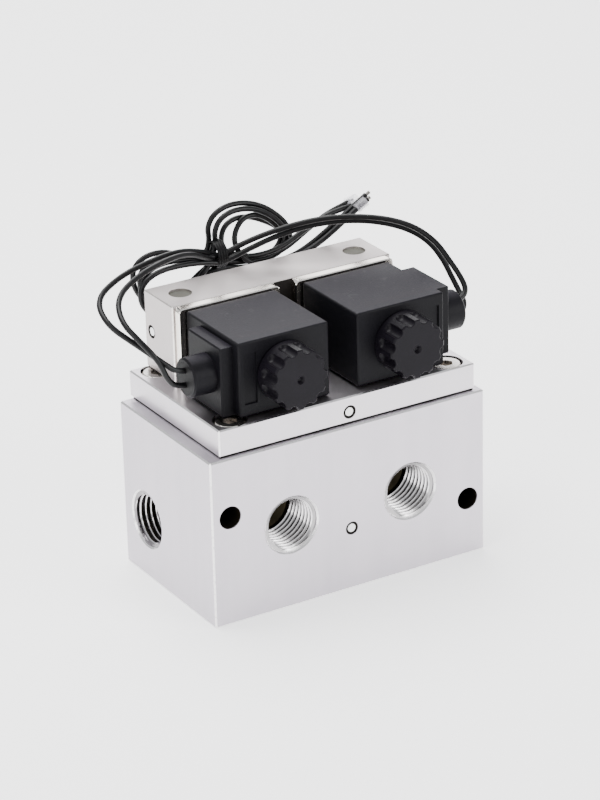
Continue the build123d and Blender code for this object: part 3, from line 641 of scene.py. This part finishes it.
LEADS = {
    "left_a": [
        (-32.9, -8.95, 57.55), (-36.4, -8.95, 57.6), (-39.2, -7.9, 60.2), (-43.8, -4.8, 64.4),
        (-48.2, 0.2, 68.4), (-47.0, 7.0, 71.8), (-38.0, 13.0, 73.0), (-27.5, 18.5, 72.5),
        (-17.7, 22.5, 71.6), (-10.5, 25.0, 69.0), (-5.9, 26.2, 66.7),
        (0.5, 27.0, 64.0), (7.3, 27.8, 62.7), (12.3, 28.2, 63.0), (14.8, 28.4, 65.4), (14.4, 28.5, 68.6),
        (11.7, 28.5, 71.9), (7.9, 28.5, 74.9), (3.5, 28.5, 76.8), (-1.2, 28.5, 77.3), (-5.2, 28.5, 75.9),
        (-7.0, 28.5, 73.0), (-6.5, 28.6, 69.9), (-7.4, 28.4, 67.0), (-10.6, 28.0, 66.2),
        (-14.4, 28.0, 67.8), (-18.7, 28.2, 69.9), (-23.8, 28.3, 69.7), (-26.8, 28.3, 67.0),
        (-26.6, 28.3, 62.7), (-23.7, 28.2, 58.4), (-19.0, 28.0, 56.2), (-14.5, 27.5, 57.7),
        (-10.7, 26.6, 61.2),
        (-5.9, 26.2, 64.3), (-0.3, 26.5, 63.8), (6.6, 26.7, 62.8), (12.6, 26.7, 64.2), (17.8, 26.8, 67.1),
        (23.0, 27.0, 69.8), (26.9, 27.3, 70.8), (30.6, 27.6, 71.5)],
    "left_b": [
        (-32.9, -8.95, 54.15), (-36.6, -8.95, 54.2), (-39.1, -9.3, 56.8), (-40.7, -9.3, 61.2),
        (-43.4, -7.0, 65.2), (-45.6, -1.6, 69.0), (-43.0, 4.8, 72.0), (-34.8, 10.6, 73.2),
        (-25.0, 16.2, 72.8), (-16.6, 21.0, 71.2), (-10.2, 24.0, 67.8), (-5.9, 25.5, 65.2),
        (0.0, 26.0, 63.8), (5.9, 26.4, 62.9), (10.5, 26.8, 63.2), (13.0, 27.0, 65.4), (12.8, 27.1, 68.5),
        (10.3, 27.1, 71.8), (6.6, 27.1, 74.5), (2.8, 27.1, 76.0), (-1.3, 27.1, 76.2), (-4.6, 27.1, 74.8),
        (-6.0, 27.1, 72.0), (-5.6, 27.2, 69.2), (-6.7, 27.0, 66.6), (-10.2, 26.6, 66.0),
        (-14.0, 26.6, 67.5), (-18.5, 26.8, 68.8), (-22.9, 26.9, 68.5), (-25.6, 26.9, 66.6),
        (-25.8, 26.9, 63.0), (-23.4, 26.8, 59.3), (-19.3, 26.6, 57.4), (-15.3, 26.2, 59.2),
        (-11.4, 26.0, 62.3),
        (-5.9, 24.8, 64.3), (0.1, 25.1, 62.6), (5.7, 25.2, 62.2), (12.2, 24.9, 62.4), (17.4, 24.5, 64.4),
        (23.1, 24.2, 67.8), (28.2, 23.8, 71.2), (32.6, 23.7, 73.9)],
    "right_a": [
        (34.1, -8.95, 57.55), (37.2, -8.95, 57.6), (39.3, -8.0, 59.3), (39.1, -5.8, 61.9),
        (38.0, -2.8, 65.2), (36.6, 0.4, 68.9), (33.6, 4.8, 71.9), (28.8, 9.2, 73.5), (22.2, 13.5, 74.1),
        (15.2, 17.3, 73.7), (8.1, 20.7, 72.0), (0.8, 23.4, 69.7), (-5.9, 24.9, 67.0),
        (-9.9, 25.2, 67.2), (-15.1, 25.5, 67.9), (-20.5, 25.7, 68.2), (-24.5, 25.7, 66.9),
        (-26.4, 25.7, 64.0), (-25.8, 25.7, 60.6), (-23.1, 25.6, 58.0), (-19.5, 25.4, 57.7),
        (-15.9, 25.2, 60.2), (-11.6, 25.6, 63.4), (-5.9, 26.8, 65.5), (0.6, 28.0, 63.7),
        (7.0, 28.8, 62.3), (11.9, 29.4, 62.8), (14.0, 29.6, 65.2), (12.7, 29.7, 68.2), (9.2, 29.7, 70.6),
        (5.2, 29.7, 72.6), (1.3, 29.6, 73.3), (-1.9, 29.4, 72.2), (-3.4, 29.0, 69.5), (-3.4, 27.8, 66.7),
        (-0.4, 26.3, 65.3), (3.7, 25.3, 64.6), (10.1, 25.3, 65.1), (16.5, 25.4, 68.0), (21.8, 25.5, 70.2),
        (26.3, 25.5, 71.0), (30.3, 25.5, 71.3)],
    "right_b": [
        (34.1, -8.95, 54.15), (37.2, -8.95, 54.3), (39.2, -7.5, 55.9), (39.8, -4.6, 57.2),
        (39.6, -1.4, 60.3), (38.9, 1.0, 63.9), (37.0, 3.8, 67.8), (33.3, 7.2, 70.7), (27.8, 11.4, 72.3),
        (21.5, 15.3, 72.7), (14.6, 18.6, 72.0), (7.6, 21.0, 70.4), (0.8, 22.7, 68.1), (-5.9, 24.2, 65.3),
        (-10.3, 24.2, 66.6), (-15.9, 24.3, 67.2), (-21.7, 24.4, 67.1), (-25.8, 24.4, 65.4),
        (-27.3, 24.4, 62.2), (-26.1, 24.4, 58.6), (-23.0, 24.3, 56.3), (-19.2, 24.2, 56.5),
        (-15.6, 24.2, 59.0), (-11.4, 24.6, 63.2), (-5.9, 25.7, 67.7), (-0.3, 27.4, 64.4),
        (5.4, 28.2, 62.6), (9.9, 28.4, 63.1), (12.4, 28.5, 65.6), (11.9, 28.5, 68.6), (9.4, 28.5, 71.4),
        (6.0, 28.4, 73.5), (2.4, 28.2, 73.5), (0.1, 27.9, 71.3), (-1.0, 27.1, 68.4), (-0.4, 24.9, 65.5),
        (2.5, 23.7, 63.3), (6.1, 23.5, 62.9), (11.8, 23.3, 62.7), (17.3, 22.9, 64.3), (22.6, 22.5, 67.3),
        (27.6, 22.2, 70.8), (32.1, 22.1, 73.5)],
}
# How far each shrink sleeve starts before the insulation's end, and reaches past it
SLEEVES = {"left_a": (1.4, 1.9), "right_a": (1.4, 1.7), "right_b": (4.2, -0.6)}
WIRE_LENGTH = {"left_a": 0.9, "left_b": 1.1, "right_a": 0.8, "right_b": 0.7}


def lead_curve(name, points):
    curve = bpy.data.curves.new(name, "CURVE")
    curve.dimensions = "3D"
    spline = curve.splines.new("NURBS")
    spline.points.add(len(points) - 1)
    for knot, place in zip(spline.points, points):
        knot.co = (*(Vector(place) * MM), 1)
    spline.order_u = 3
    spline.use_endpoint_u = True
    spline.resolution_u = 8
    curve.resolution_u = 8
    piece = bpy.data.objects.new(name, curve)
    bpy.context.scene.collection.objects.link(piece)
    return piece


def centreline(piece):
    """The points that the lead's spline follows, read before it has a thickness."""
    mesh = bpy.data.meshes.new_from_object(piece)
    points = [vertex.co.copy() for vertex in mesh.vertices]
    bpy.data.meshes.remove(mesh)
    return points


def tube(name, points, radius, wall=None, sides=5):
    """A short tube or wire along points."""
    curve = bpy.data.curves.new(name, "CURVE")
    curve.dimensions = "3D"
    spline = curve.splines.new("POLY")
    spline.points.add(len(points) - 1)
    for knot, place in zip(spline.points, points):
        knot.co = (*place, 1)
    curve.bevel_depth = radius
    curve.bevel_resolution = sides
    curve.use_fill_caps = wall is None
    holder = bpy.data.objects.new(name + "_line", curve)
    bpy.context.scene.collection.objects.link(holder)
    bpy.context.view_layer.update()
    mesh = bpy.data.meshes.new_from_object(holder)
    bpy.data.objects.remove(holder)
    bm = bmesh.new()
    bm.from_mesh(mesh)
    bpy.data.meshes.remove(mesh)
    bmesh.ops.remove_doubles(bm, verts=bm.verts, dist=1e-6)
    bmesh.ops.recalc_face_normals(bm, faces=bm.faces)
    if wall is not None:
        bmesh.ops.solidify(bm, geom=bm.faces, thickness=-wall)
    return finished(name, bm, smooth=50)


def stretch_of(points, before, after):
    """The end of a line: its points from before its end, then on past it by after, in metres."""
    end = points[-1]
    way = (points[-1] - points[-3]).normalized()
    kept, gone = [], 0.0
    for here, last in zip(reversed(points[:-1]), reversed(points)):
        gone += (last - here).length
        if gone > before:
            break
        kept.insert(0, here)
    return [*kept, end + way * after] if after <= 0 else [*kept, end, end + way * after]


def make_leads():
    covering = {
        "left_a": ["lead_left_a", "lead_tail_left_a", "lead_hank_upper"],
        "left_b": ["lead_left_b", "lead_tail_left_b", "lead_hank_left"],
        "right_a": ["lead_right_a", "lead_tail_right_a"],
        "right_b": ["lead_right_b", "lead_tail_right_b"],
    }
    wires, sleeves = [], []
    for side, points in LEADS.items():
        lead = lead_curve("insulated_lead_" + side, points)
        bpy.context.view_layer.update()
        line = centreline(lead)
        lead.data.bevel_depth = LEAD_DIAMETER / 2 * MM
        lead.data.bevel_resolution = 4
        lead.data.use_fill_caps = True
        dressed(lead, FINISHES["lead_insulation"], stands_for=covering[side])
        way = (line[-1] - line[-3]).normalized()
        wire = tube("wire_end_" + side,
                    [line[-1] - way * WIRE_ROOT * MM, line[-1], line[-1] + way * WIRE_LENGTH[side] * MM],
                    WIRE_RADIUS * MM, sides=3)
        dressed(wire, FINISHES["wire_tinned"])
        wires.append(wire)
        if side in SLEEVES:
            before, after = SLEEVES[side]
            sleeve = tube("shrink_sleeve_" + side, stretch_of(line, before * MM, after * MM),
                          (SLEEVE_BORE + SLEEVE_WALL) * MM, wall=SLEEVE_WALL * MM)
            dressed(sleeve, FINISHES["sleeve_clear"])
            sleeves.append(sleeve)
    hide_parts("lead_wires")
    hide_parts("lead_sleeves")


def make_wrap():
    """The band that gathers the leads: a few close turns of black wrap round the bundle."""
    bm = bmesh.new()
    ring = bmesh.ops.create_circle(bm, segments=40, radius=1)["verts"]
    bmesh.ops.scale(bm, verts=ring, vec=(TIE_HALF_SIZE[0] * MM, TIE_HALF_SIZE[1] * MM, 1))
    edges = list(bm.edges)
    rings = TIE_TURNS * 3
    for turn in range(rings):
        grown = bmesh.ops.extrude_edge_only(bm, edges=edges)["geom"]
        verts = [g for g in grown if isinstance(g, bmesh.types.BMVert)]
        edges = [g for g in grown if isinstance(g, bmesh.types.BMEdge)]
        bmesh.ops.translate(bm, verts=verts, vec=(0, 0, TIE_WIDTH * MM / rings))
        size = {0: TIE_SWELL, 1: 1.0, 2: 1 / TIE_SWELL}[turn % 3]
        bmesh.ops.scale(bm, verts=verts, vec=(size, size, 1))
    bmesh.ops.translate(bm, verts=bm.verts, vec=(0, 0, -TIE_WIDTH * MM / 2))
    bmesh.ops.recalc_face_normals(bm, faces=bm.faces)
    bmesh.ops.solidify(bm, geom=bm.faces, thickness=TIE_THICKNESS * MM)
    bmesh.ops.transform(bm, matrix=Matrix.Translation(Vector(TIE_PLACE) * MM) @ facing((1, 0, 0)),
                        verts=bm.verts)
    band = finished("lead_wrap", bm, smooth=60)
    dressed(band, FINISHES["wrap_plastic"], stands_for=["lead_tie"])


# ---------------------------------------------------------------- ports

def thread_ridge(name, place, finish):
    """The helical ridge of a port's thread, cut back to the port's chamfer at its mouth."""
    bm = bmesh.new()
    corners = [bm.verts.new((r * MM, 0, z * MM)) for r, z in (
        (THREAD_ROOT, -THREAD_PITCH * ROOT_HALF),
        (THREAD_CREST + THREAD_SHOULDER, -THREAD_PITCH * SHOULDER_HALF),
        (THREAD_CREST, -THREAD_PITCH * CREST_HALF), (THREAD_CREST, THREAD_PITCH * CREST_HALF),
        (THREAD_CREST + THREAD_SHOULDER, THREAD_PITCH * SHOULDER_HALF),
        (THREAD_ROOT, THREAD_PITCH * ROOT_HALF))]
    for first, second in zip(corners, corners[1:] + corners[:1]):
        bm.edges.new((first, second))
    bmesh.ops.spin(bm, geom=[*bm.verts, *bm.edges], cent=ORIGIN, axis=(0, 0, 1),
                   dvec=(0, 0, THREAD_PITCH / THREAD_STEPS * MM),
                   angle=2 * math.pi * THREAD_TURNS, steps=round(THREAD_STEPS * THREAD_TURNS))
    bmesh.ops.remove_doubles(bm, verts=bm.verts, dist=1e-7)
    bmesh.ops.holes_fill(bm, edges=[e for e in bm.edges if e.is_boundary], sides=6)
    for vertex in bm.verts:
        vertex.co.z = max(vertex.co.z, THREAD_START * MM)
        radius = math.hypot(vertex.co.x, vertex.co.y)
        least = THREAD_ROOT * MM - THREAD_LEAD_IN * (vertex.co.z - THREAD_START * MM)
        spread = max(1, least / radius)
        vertex.co.x *= spread
        vertex.co.y *= spread
    bmesh.ops.recalc_face_normals(bm, faces=bm.faces)
    bmesh.ops.transform(bm, matrix=place, verts=bm.verts)
    dressed(finished(name + "_thread", bm, smooth=40), FINISHES[finish])


def bore_wall(name, line, place):
    """A dark sheet of painted shade on the inner wall of a drilled hole: line is its radius and depth from
    mouth to end.
    """
    bm = bmesh.new()
    corners = [bm.verts.new((r * MM, 0, z * MM)) for r, z in line]
    for first, second in zip(corners, corners[1:]):
        bm.edges.new((first, second))
    bmesh.ops.spin(bm, geom=[*bm.verts, *bm.edges], cent=ORIGIN, axis=(0, 0, 1),
                   angle=2 * math.pi, steps=THREAD_STEPS, use_merge=True)
    bmesh.ops.remove_doubles(bm, verts=bm.verts, dist=1e-7)
    bmesh.ops.recalc_face_normals(bm, faces=bm.faces)
    bmesh.ops.solidify(bm, geom=bm.faces, thickness=BORE_SKIN * MM)
    bmesh.ops.transform(bm, matrix=place, verts=bm.verts)
    dressed(finished(name, bm, smooth=30), FINISHES["bore_wall"])


def make_threads():
    low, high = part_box("valve_body")
    gallery_y, supply_z, exhaust_z = (
        n * MM for n in (GALLERY_Y, PORT_HEIGHT - GALLERY_STEP, PORT_HEIGHT + GALLERY_STEP))
    ports = {
        "port_a": ((-OUTLET_X * MM, low.y, PORT_HEIGHT * MM), (0, 1, 0), "front_thread", PORT_BORE),
        "port_b": ((OUTLET_X * MM, low.y, PORT_HEIGHT * MM), (0, 1, 0), "front_thread", PORT_BORE),
        "supply_port": ((low.x, gallery_y, supply_z), (1, 0, 0), "end_thread", PORT_BORE),
        "exhaust_port": ((high.x, gallery_y, exhaust_z), (-1, 0, 0), "end_thread", VENTED_BORE),
    }
    for name, (mouth, inward, finish, bore) in ports.items():
        place = Matrix.Translation(mouth) @ facing(inward)
        thread_ridge(name, place, finish)
        bore_wall(name + "_bore_wall", bore, place)
    for side, (x, z) in MOUNT_HOLES.items():
        place = Matrix.Translation((x * MM, low.y, z * MM)) @ facing((0, 1, 0))
        bore_wall("mount_hole_wall_" + side, MOUNT_BORE, place)


def make_pocket_seals():
    """Grey-olive sealing compound poured over the block's two screws, a little dished."""
    block_low, block_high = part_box("pilot_block")
    middle = (block_low.x + block_high.x) / 2
    for side, away in (("left", -POCKET_X), ("right", POCKET_X)):
        bm = bmesh.new()
        bmesh.ops.create_circle(bm, cap_ends=True, segments=48, radius=POCKET_RADIUS * MM)
        inner = list(bm.faces)
        for _ in range(DISH_STEPS):
            bmesh.ops.inset_region(bm, faces=inner, thickness=DISH_STEP * MM, depth=DISH_DROP * MM)
        bmesh.ops.solidify(bm, geom=bm.faces, thickness=POCKET_THICKNESS * MM)
        top = Matrix.Translation((middle + away * MM, POCKET_Y * MM, block_high.z - POCKET_FILL * MM))
        bmesh.ops.transform(bm, matrix=top, verts=bm.verts)
        bmesh.ops.recalc_face_normals(bm, faces=bm.faces)
        dressed(finished("screw_pocket_seal_" + side, bm, smooth=40), FINISHES["pocket_seal"])


def make_yoke_gap_shade():
    """Thin dark sheet of painted shade on the block's front, behind the gap between the two yoke plates."""
    block_low, block_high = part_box("pilot_block")
    left_low, left_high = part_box("yoke_plate_left")
    right_low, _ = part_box("yoke_plate_right")
    low = Vector((left_high.x - STRIP_LAP * MM, left_low.y + STRIP_FRONT * MM, block_low.z + STRIP_LAP * MM))
    high = Vector((right_low.x + STRIP_LAP * MM, block_low.y + STRIP_SUNK * MM,
                   block_high.z - STRIP_BELOW_TOP * MM))
    bm = bmesh.new()
    bmesh.ops.create_cube(bm, size=1)
    bmesh.ops.scale(bm, verts=bm.verts, vec=high - low)
    bmesh.ops.translate(bm, verts=bm.verts, vec=(low + high) / 2)
    bmesh.ops.bevel(bm, geom=bm.edges, offset=STRIP_EDGE * MM, segments=2, profile=0.5, affect="EDGES",
                    material=-1)
    # The sheet wears the black rubber finish as painted shade in the gap.
    dressed(finished("yoke_gap_shade_sheet", bm, smooth=40), FINISHES["gasket_rubber"])


def make_plug_grooves():
    """A dark ring of painted shade in the groove round each drilling plug."""
    body_low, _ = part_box("valve_body")
    plate_low, plate_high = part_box("pilot_plate")
    block_low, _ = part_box("pilot_block")
    middle = (plate_low.x + plate_high.x) / 2
    grooves = {
        "body_plug_groove_shade": ((0, body_low.y, BODY_PLUG_Z * MM), (0, 1, 0)),
        "plate_plug_groove_shade": ((middle, plate_low.y, PLATE_PLUG_Z * MM), (0, 1, 0)),
        "block_plug_groove_shade": ((block_low.x, BLOCK_PLUG_Y * MM, BLOCK_PLUG_Z * MM), (1, 0, 0)),
    }
    for name, (mouth, inward) in grooves.items():
        bm = bmesh.new()
        bmesh.ops.create_circle(bm, segments=36, radius=PLUG_FACE * MM)
        grown = bmesh.ops.extrude_edge_only(bm, edges=list(bm.edges))["geom"]
        rim = [g for g in grown if isinstance(g, bmesh.types.BMVert)]
        wider = PLUG_HOLE / PLUG_FACE
        bmesh.ops.scale(bm, verts=rim, vec=(wider, wider, 1))
        bmesh.ops.translate(bm, verts=bm.verts, vec=(0, 0, GROOVE_SHADE_SUNK * MM))
        bmesh.ops.recalc_face_normals(bm, faces=bm.faces)
        bmesh.ops.solidify(bm, geom=bm.faces, thickness=GROOVE_SHADE_THICKNESS * MM)
        place = Matrix.Translation(mouth) @ facing(inward)
        bmesh.ops.transform(bm, matrix=place, verts=bm.verts)
        # The ring wears the black rubber finish as painted shade in the groove.
        dressed(finished(name, bm, smooth=30), FINISHES["gasket_rubber"])


# ---------------------------------------------------------------- the valve

make_camera()
make_leads()
make_wrap()
make_studio()
make_floor()
dress_cad_nodes()
make_threads()
make_plug_grooves()
make_pocket_seals()
make_yoke_gap_shade()
